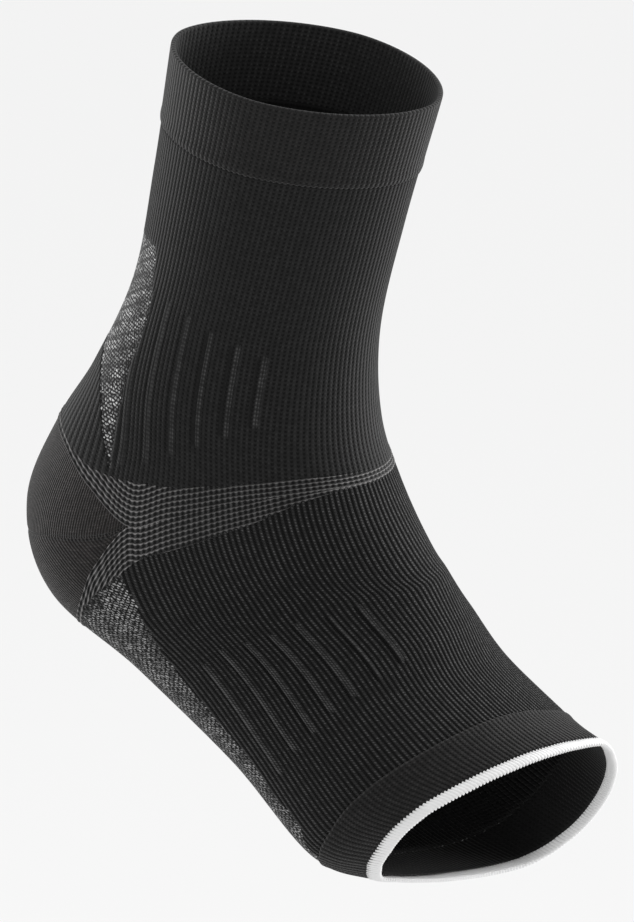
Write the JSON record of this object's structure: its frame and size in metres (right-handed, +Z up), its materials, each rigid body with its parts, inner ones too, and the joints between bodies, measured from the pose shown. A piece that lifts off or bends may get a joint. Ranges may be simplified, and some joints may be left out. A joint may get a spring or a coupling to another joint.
{
  "type": "compression arch support sleeve for the right foot",
  "caption": "Seamless-knit black foot and ankle sleeve with open toes, a ribbed leg tube, heel pocket, crossing support band and white edge round the toe opening.",
  "frame": {"origin": "the centre of the ankle inside the sleeve, where a worn sleeve sits on the ankle joint", "axes": "+X forward to the toes, which point down as in the picture; +Z up the leg; the outer side of the right foot faces -Y"},
  "size_m": [0.1777, 0.0944, 0.254],
  "materials": {
    "cuff_knit": "matt fine knit",
    "rib_knit": "matt ribbed knit",
    "marl_mesh": "light marled open knit",
    "heel_knit": "smooth fine ribbed knit",
    "band_knit": "knit with light wavy rows",
    "white_overlock": "white overlock stitching"
  },
  "bodies": {
    "root": {"ankle_cuff": "cuff_knit", "leg_sleeve": "rib_knit", "achilles_pad": "marl_mesh", "heel_pocket": "heel_knit", "support_band": "band_knit", "foot_sleeve": "rib_knit", "arch_pad": "marl_mesh", "forefoot_cuff": "cuff_knit", "toe_trim": "white_overlock"}
  },
  "joints": []
}
